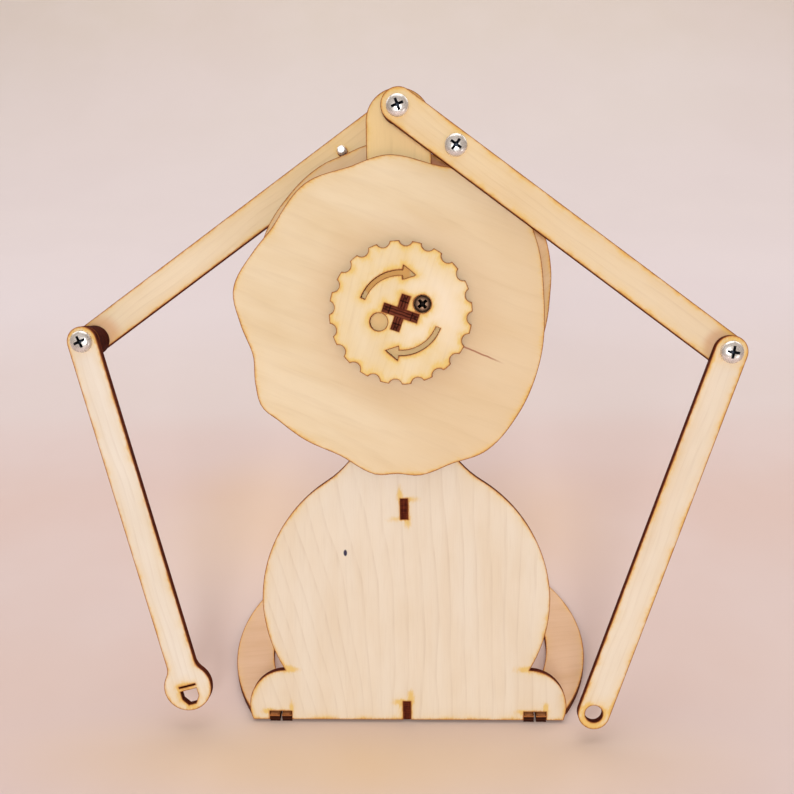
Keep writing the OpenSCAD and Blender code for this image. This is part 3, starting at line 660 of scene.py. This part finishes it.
# ---------------------------------------------------------------- the shaft's two strips
def shaft_piece(name, node, tilt, crossing):
    """One strip seen on its end grain: plies along it, and a shallow step near each end."""
    me0 = NODES[node].data
    co = np.empty(len(me0.vertices) * 3)
    me0.vertices.foreach_get("co", co)
    p = FRONT.to(co.reshape(-1, 3))
    w0, w1 = p[:, 2].min(), p[:, 2].max()
    wm = (w0 + w1) / 2
    ca, sa = math.cos(math.radians(tilt)), math.sin(math.radians(tilt))
    q0, q1 = p[:, 0], p[:, 1] - CAM_V
    al, ac = q0 * ca + q1 * sa, -q0 * sa + q1 * ca
    L, W = float(al.max()), float(ac.max())
    rng = np.random.default_rng(7 if crossing else 11)

    def block(a0, a1, wf, wb):
        """A box from a0 to a1 along the strip whose front has grooves, ragged roughness, and darker marks along the
        grooves, at the rims and over the shallow step near each end.
        """
        na, nc = max(4, int((a1 - a0) / 0.12)), 26
        xs, ys = np.linspace(a0, a1, na + 1), np.linspace(-W, W, nc + 1)
        v, f, uv = [], [], []
        rough = rng.normal(0, 0.035, (na + 1, nc + 1))
        for i, x in enumerate(xs):
            for j, y in enumerate(ys):
                d = rough[i, j]
                dark = 0.0
                for g in (-0.50, 0.52):
                    dark += math.exp(-(((y - g - 0.05 * math.sin(x * 1.7)) / 0.16) ** 2))
                dark += 1.2 * math.exp(-(((abs(x) - (L - 2.35)) / 0.20) ** 2))
                d += 0.22 * dark
                if abs(x) > L - 2.35:
                    d += 0.16
                    dark += 0.9 * math.exp(-(((abs(x) - (L - 1.1)) / 0.55) ** 2)) * math.exp(-((y / 0.42) ** 2)) + 0.15
                if i in (0, na) or j in (0, nc):
                    d += 0.10
                    dark += 0.6
                dark_marks.append(min(1.0, dark))
                v.append((x, y, wf + max(0.0, d)))
        for i in range(na):
            for j in range(nc):
                k = i * (nc + 1) + j
                f.append((k, k + nc + 1, k + nc + 2, k + 1))
        base = len(v)
        rim = [(i, 0) for i in range(na + 1)] + [(na, j) for j in range(1, nc + 1)] + [(i, nc) for i in range(na - 1, -1, -1)] + [(0, j) for j in range(nc - 1, 0, -1)]
        for i, j in rim:
            v.append((xs[i], ys[j], wb))
        n = len(rim)
        for k in range(n):
            i, j = rim[k]
            i2, j2 = rim[(k + 1) % n]
            f.append((i2 * (nc + 1) + j2, i * (nc + 1) + j, base + k, base + (k + 1) % n))
        f.append(tuple(base + k for k in range(n)))
        return v, f

    verts, faces, dark_marks = [], [], []
    parts = [(-L, L, w0, wm)] if crossing else [(-L, -W - 0.02, w0, wm), (W + 0.02, L, w0, wm)]
    # the half behind the crossing is a plain bar, whole on one strip and split on the other
    parts += [(-L, -W - 0.02, wm, w1), (W + 0.02, L, wm, w1)] if crossing else [(-L, L, wm, w1)]
    for a0, a1, wf, wb in parts:
        if wf == w0:
            v, f = block(a0, a1, wf, wb)
        else:
            v = [(x, y, z) for z in (wf, wb) for y in (-W, W) for x in (a0, a1)]
            f = [(0, 1, 3, 2), (4, 6, 7, 5), (0, 4, 5, 1), (1, 5, 7, 3), (3, 7, 6, 2), (2, 6, 4, 0)]
        k = len(verts)
        verts += v
        faces += [tuple(i + k for i in g) for g in f]
        dark_marks += [0.5] * (len(verts) - len(dark_marks))
    a = np.array(verts)
    u = a[:, 0] * ca - a[:, 1] * sa
    v_ = a[:, 0] * sa + a[:, 1] * ca + CAM_V
    world = FRONT.out(np.stack([u, v_, a[:, 2]], -1))
    me = bpy.data.meshes.new(name)
    me.from_pydata([tuple(c) for c in world], [], faces)
    bm = bmesh.new()
    bm.from_mesh(me)
    bmesh.ops.recalc_face_normals(bm, faces=bm.faces)
    bm.to_mesh(me)
    bm.free()
    uvl = me.uv_layers.new(name="grain")
    vi = np.empty(len(me.loops), int)
    me.loops.foreach_get("vertex_index", vi)
    uvl.data.foreach_set("uv", np.stack([a[vi, 0] * 0.01, (a[vi, 1] + 1.55 + 0.3 * a[vi, 2]) * 0.01], -1).astype(np.float32).ravel())
    me.attributes.new("dark_marks", "FLOAT", "POINT").data.foreach_set("value", np.array(dark_marks, np.float32))
    o = new_object(name, me, SHAFT)
    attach(o, "cam_rotor")
    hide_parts(node)


shaft_piece("shaft_strip_a_ends", "shaft_strip_a", -19.5, True)
shaft_piece("shaft_strip_b_ends", "shaft_strip_b", 70.5, False)

# ---------------------------------------------------------------- screws and nuts
def lathe(profile, n=64, twist=None):
    """Vertices and faces of a profile [(r, z)] turned about z; closed at both ends where r is 0."""
    verts, faces, rows = [], [], []
    for r, z in profile:
        if r < 1e-9:
            rows.append([len(verts)])
            verts.append((0.0, 0.0, z))
        else:
            rows.append(list(range(len(verts), len(verts) + n)))
            verts += [(r * math.cos(2 * math.pi * k / n), r * math.sin(2 * math.pi * k / n), z) for k in range(n)]
    for a, b in zip(rows, rows[1:]):
        if len(a) == 1 and len(b) == 1:
            continue
        for k in range(n):
            k2 = (k + 1) % n
            if len(a) == 1:
                faces.append((a[0], b[k2], b[k]))
            elif len(b) == 1:
                faces.append((a[k], a[k2], b[0]))
            else:
                faces.append((a[k], a[k2], b[k2], b[k]))
    return verts, faces


def mesh_of(name, verts, faces):
    me = bpy.data.meshes.new(name)
    me.from_pydata(verts, [], faces)
    bm = bmesh.new()
    bm.from_mesh(me)
    bmesh.ops.recalc_face_normals(bm, faces=bm.faces)
    bm.to_mesh(me)
    bm.free()
    return me


def boolean(a, b, op="DIFFERENCE"):
    """Applies a boolean of two throw-away objects to a and removes b."""
    m = a.modifiers.new("b", "BOOLEAN")
    m.operation, m.object, m.solver = op, b, "EXACT"
    dg = bpy.context.evaluated_depsgraph_get()
    me = bpy.data.meshes.new_from_object(a.evaluated_get(dg))
    a.modifiers.clear()
    a.data = me
    bpy.data.objects.remove(b)


def screw_mesh(name, length, d, hd, hh, pitch, turn=18.0):
    """Pan head with a Phillips recess, then a threaded shank with a chamfered end. The head points along +z."""
    R = hd / 2
    prof = [(0, 0.0), (R - 0.12, 0.0), (R, 0.10), (R, hh * 0.30)]
    prof += [(R * math.cos(math.radians(a)) ** 0.8, hh * 0.30 + hh * 0.70 * math.sin(math.radians(a))) for a in range(6, 90, 6)]
    prof += [(0, hh)]
    v, f = lathe(prof, 96)
    head = new_object(name, mesh_of(name, v, f))
    # recess: a cross of four tapered wings with a small cone in the middle
    wl, ww, dp = hd * 0.30, hd * 0.056, hh * 0.80
    if hd < 6.5:
        wl, ww = hd * 0.35, hd * 0.088
    cv, cf = [], []
    top, mid, bot = hh + 0.3, hh, hh - dp
    for k in range(4):
        a = math.radians(turn + 90 * k)
        ux, uy, vx, vy = math.cos(a), math.sin(a), -math.sin(a), math.cos(a)
        base = len(cv)
        for z, l, w in ((top, wl * 1.06, ww * 1.25), (mid, wl, ww * 1.12), (bot, wl * 0.30, ww * 0.62)):
            for s, q in ((-1, 0.0), (-1, 1.0), (1, 1.0), (1, 0.0)):
                x = l * q - (0.02 if q == 0 else 0)
                cv.append((ux * x + vx * w * s, uy * x + vy * w * s, z))
        for r in range(2):
            for e in range(4):
                i, j = base + r * 4 + e, base + r * 4 + (e + 1) % 4
                cf.append((i, j, j + 4, i + 4))
        cf.append(tuple(base + e for e in (3, 2, 1, 0)))
        cf.append(tuple(base + 8 + e for e in range(4)))
        cutter = new_object("cut", mesh_of("cut", cv[base:], [tuple(i - base for i in g) for g in cf[-10:]]))
        boolean(head, cutter)
    v, f = lathe([(0, bot - 0.05), (ww * 1.2, bot + dp * 0.12), (ww * 1.8, mid - dp * 0.25), (ww * 2.1, top), (0, top)], 32)
    boolean(head, new_object("cut", mesh_of("cut", v, f)))
    # shank
    n, per = 40, 10
    rows = int(round(length / pitch * per))
    sv, sf = [], []
    r0, depth = d / 2, pitch * 0.30
    for i in range(rows + 1):
        z = -length * i / rows
        for k in range(n):
            ph = (-z / pitch - k / n) % 1.0
            tri = abs(2 * ph - 1.0)
            r = r0 - depth * max(0.0, min(1.0, (tri - 0.12) / 0.76))
            end = min(1.0, (length + z) / 0.55)
            r = min(r, r0 - 0.45 * (1.0 - end))
            if -z < 0.35:
                r = r0 * 0.985
            a = 2 * math.pi * k / n
            sv.append((r * math.cos(a), r * math.sin(a), z + 0.02))
    for i in range(rows):
        for k in range(n):
            k2 = (k + 1) % n
            sf.append((i * n + k, i * n + k2, (i + 1) * n + k2, (i + 1) * n + k))
    sf.append(tuple(range(n))[::-1])
    sf.append(tuple(range(rows * n, rows * n + n)))
    shank = new_object("shank", mesh_of("shank", sv, sf))
    bm = bmesh.new()
    bm.from_mesh(head.data)
    bm.from_mesh(shank.data)
    bpy.data.objects.remove(shank)
    bmesh.ops.remove_doubles(bm, verts=bm.verts, dist=1e-4)
    me = bpy.data.meshes.new(name)
    bm.to_mesh(me)
    bm.free()
    bpy.data.objects.remove(head)
    return me


def place(name, me, p, plane, flip, mat, body, node, recess=None, hd=0.0, hh=0.0):
    """Puts a screw or nut at plate point p = (u, v, w), pointing forward, or back if flip."""
    f = -1.0 if flip else 1.0
    x, y, z = RIGHT * f, UP, BACK * -1.0 * f
    o = PLATE_O + (RIGHT * p[0] + UP * p[1] + BACK * p[2]) * MM
    m = Matrix(((x[0], y[0], z[0], 0), (x[1], y[1], z[1], 0), (x[2], y[2], z[2], 0), (0, 0, 0, 1)))
    # the faces inside the cross recess take the recess material: painted shade
    if recess:
        for q in me.polygons:
            c = q.center
            rr = math.hypot(c.x, c.y)
            dome = hh * 0.30 + hh * 0.70 * math.sqrt(max(0.0, 1.0 - (rr / (hd / 2)) ** 2.5))
            if rr < hd * 0.36 and c.z > 0.2 and c.z < dome - 0.10 * hh:
                q.material_index = 1
    me.transform(Matrix.Translation(o) @ m @ Matrix.Scale(MM, 4))
    for q in me.polygons:
        q.use_smooth = True
    mark_sharp(me, 32)
    ob = new_object(name, me, *([mat, recess] if recess else [mat]))
    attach(ob, body)
    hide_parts(node)
    return ob


def centre(node):
    """The middle of a round CAD node on the plate's plane, and its nearest and furthest depth."""
    me = NODES[node].data
    co = np.empty(len(me.vertices) * 3)
    me.vertices.foreach_get("co", co)
    p = FRONT.to(co.reshape(-1, 3))
    lo, hi = p.min(0), p.max(0)
    return (lo + hi) / 2, lo, hi


for n, body, d, hd, hh, pitch, flip, turn in (
        ("pivot_screw", "frame", 4.0, 7.9, 2.4, 0.7, False, 20), ("right_follower_screw", "right_upper", 3.2, 7.9, 2.4, 1.1, False, 52),
        ("right_elbow_screw", "right_upper", 4.0, 7.9, 2.4, 0.7, False, -10), ("left_elbow_screw", "left_upper", 4.0, 7.9, 2.4, 0.7, False, 24),
        ("left_follower_screw", "left_upper", 3.2, 7.9, 2.4, 1.1, True, 0), ("knob_screw", "cam_rotor", 3.0, 6.1, 1.9, 1.0, False, 40)):
    c, lo, hi = centre(n)
    seat = hi[2] - hh if flip else lo[2] + hh
    me = screw_mesh(n + "_detail", hi[2] - lo[2] - hh, d, hd, hh, pitch, turn)
    place(n + "_detail", me, (c[0], c[1], seat), FRONT, flip, DARK_ZINC if n == "knob_screw" else ZINC, body, n,
          RECESS_DARK if n == "knob_screw" else RECESS, hd, hh)

for n, body in (("pivot_nut", "frame"), ("right_elbow_nut", "right_upper"), ("left_elbow_nut", "left_upper")):
    c, lo, hi = centre(n)
    h, R = hi[2] - lo[2], 8.1 / 2
    v = [(R * math.cos(math.radians(60 * k)), R * math.sin(math.radians(60 * k)), z) for z in (0, h) for k in range(6)]
    f = [tuple(range(6))[::-1], tuple(range(6, 12))] + [(k, (k + 1) % 6, 6 + (k + 1) % 6, 6 + k) for k in range(6)]
    nut = new_object("nut", mesh_of("nut", v, f))
    cv, cf = lathe([(0, 0.0), (R * 0.87, 0.0), (R * 1.02, 0.42), (R * 1.02, h - 0.42), (R * 0.87, h), (0, h)], 64)
    boolean(nut, new_object("cut", mesh_of("cut", cv, cf)), "INTERSECT")
    cv, cf = lathe([(0, -1), (2.5, -1), (2.5, 0.0), (2.01, 0.45), (2.01, h - 0.45), (2.5, h), (2.5, h + 1), (0, h + 1)], 48)
    boolean(nut, new_object("cut", mesh_of("cut", cv, cf)))
    me = nut.data.copy()
    bpy.data.objects.remove(nut)
    place(n + "_detail", me, (c[0], c[1], lo[2]), FRONT, True, ZINC, body, n)

# ---------------------------------------------------------------- stage, light and camera
SWEEP = [(-0.20, (224, 194, 186)), (-0.075, (223, 194, 184)), (-0.03, (222, 192, 179)), (0.03, (221, 193, 182)), (0.113, (222, 191, 178)),
         (0.17, (223, 196, 186)), (0.234, (224, 203, 195)), (0.427, (226, 208, 204)), (0.78, (224, 206, 200)), (1.09, (224, 206, 197)),
         (1.41, (222, 203, 189))]
GAIN = (1.0, 1.035, 1.06)


def backdrop():
    """A pale sheet: a wide floor that curves up far behind."""
    prof = [(-2.6, 0.0), (-1.2, 0.0), (-0.4, 0.0), (0.2, 0.0), (0.62, 0.0)]
    prof += [(0.62 + 0.9 * math.sin(math.radians(a)), 0.9 - 0.9 * math.cos(math.radians(a))) for a in range(3, 91, 3)]
    prof += [(1.52, 2.6)]
    v, f = [], []
    for i, (y, z) in enumerate(prof):
        v += [(-3.0, y, z), (3.0, y, z)]
        if i:
            k = 2 * i
            f.append((k - 2, k - 1, k + 1, k))
    me = bpy.data.meshes.new("backdrop")
    me.from_pydata(v, [], f)
    for q in me.polygons:
        q.use_smooth = True
    t = Tree("backdrop_paper")
    co = t.n("TexCoord").outputs["Object"]
    s = t.n("SeparateXYZ")
    t.t.links.new(co, s.inputs[0])
    x, y, z = s.outputs
    lo, hi = SWEEP[0][0], SWEEP[-1][0]
    ramp = t.n("ValToRGB")
    t.put(ramp.inputs[0], t.math("DIVIDE", t.math("SUBTRACT", t.math("ADD", y, z), lo), hi - lo))
    cr = ramp.color_ramp
    cr.interpolation = "EASE"
    while len(cr.elements) < len(SWEEP):
        cr.elements.new(0.5)
    for e, (at, c) in zip(cr.elements, SWEEP):
        e.position = (at - lo) / (hi - lo)
    for e, (at, c) in zip(cr.elements, SWEEP):
        e.color = lin(*c)
    c = ramp.outputs[0]
    # warm light thrown back by the wood on the floor around it
    for cx, cy, rx, ry, k in ((-0.01, -0.062, 0.17, 0.035, 0.95), (-0.08, 0.09, 0.07, 0.10, 0.45), (0.06, 0.09, 0.06, 0.08, 0.3)):
        dx = t.math("DIVIDE", t.math("SUBTRACT", x, cx), rx)
        dy = t.math("DIVIDE", t.math("SUBTRACT", y, cy), ry)
        d = t.math("SQRT", t.math("ADD", t.math("MULTIPLY", dx, dx), t.math("MULTIPLY", dy, dy)))
        c = t.mix(t.step(d, 0.0, 1.0, k, 0.0), c, lin(233, 194, 149))
    nz = t.noise(co, 9.0, 3.0, 0.55)
    nz2 = t.noise(co, 2.6, 2.0, 0.5)
    c = t.mix(t.math("MULTIPLY", t.step(nz, 0.38, 0.68), 0.16), c, lin(232, 214, 208))
    c = t.mix(t.math("MULTIPLY", t.step(nz2, 0.40, 0.70), 0.14), c, lin(216, 190, 186))
    g = t.n("Mix", data_type="RGBA", blend_type="MULTIPLY")
    g.inputs[0].default_value = 1.0
    t.put(g.inputs[6], c)
    g.inputs[7].default_value = (GAIN[0], GAIN[1], GAIN[2], 1.0)
    t.put(t.bsdf.inputs["Base Color"], g.outputs[2])
    t.bsdf.inputs["Roughness"].default_value = 0.85
    t.bsdf.inputs["Specular IOR Level"].default_value = 0.1
    o = new_object("backdrop", me, t.m)


backdrop()


def area_light(name, loc, target, size, power, col=(1, 1, 1)):
    d = bpy.data.lights.new(name, "AREA")
    d.shape, d.size, d.energy, d.color = "DISK", size, power, col
    o = bpy.data.objects.new(name, d)
    bpy.context.scene.collection.objects.link(o)
    o.location = loc
    o.rotation_mode = "QUATERNION"
    o.rotation_quaternion = (Vector(target) - Vector(loc)).to_track_quat("-Z", "Y")
    return o


area_light("key", (-0.55, -1.1, 1.0), (0, 0, 0.12), 1.5, 1.6, (0.85, 0.925, 1.0))
area_light("front", (0.0, -1.20, 0.58), (0, 0, 0.12), 0.36, 9.0, (0.85, 0.93, 1.0))
area_light("window", (0.60, -0.70, 0.06), (0.03, 0, 0.15), 0.26, 0.5, (0.92, 0.96, 1.0))
area_light("sky", (0.0, 0.65, 1.7), (0, 0.55, 0.0), 1.8, 17.0, (0.875, 0.94, 1.0))
for sx in (-1, 1):
    area_light("wash_%d" % (sx + 1), (0.85 * sx, 0.50, 0.75), (0.0, 0.35, 0.0), 0.7, 2.3, (0.875, 0.94, 1.0))

world = bpy.data.worlds.new("studio")
bpy.context.scene.world = world
world.use_nodes = True
bg = world.node_tree.nodes["Background"]
bg.inputs[0].default_value = (0.82, 0.68, 0.56, 1.0)
bg.inputs[1].default_value = 0.35
bpy.context.scene.view_settings.view_transform = "Standard"

cam = bpy.data.cameras.new("camera")
cam.sensor_width = 36.0
cam.lens = 36.0 * 900.0 / 794.0
cam.clip_start, cam.clip_end = 0.01, 20.0
co = bpy.data.objects.new("camera", cam)
bpy.context.scene.collection.objects.link(co)
pos = PLATE_O + (RIGHT * 12.506 + BACK * -323.05 + UP * 153.09) * MM
look = (RIGHT * -0.0445196 + BACK * 0.99423145 + UP * -0.09757984).normalized()
rt = (RIGHT * 0.99894556 + BACK * 0.04320738 + UP * -0.01552084).normalized()
up = rt.cross(look)
co.matrix_world = Matrix(((rt[0], up[0], -look[0], pos[0]), (rt[1], up[1], -look[1], pos[1]), (rt[2], up[2], -look[2], pos[2]), (0, 0, 0, 1)))
bpy.context.scene.camera = co
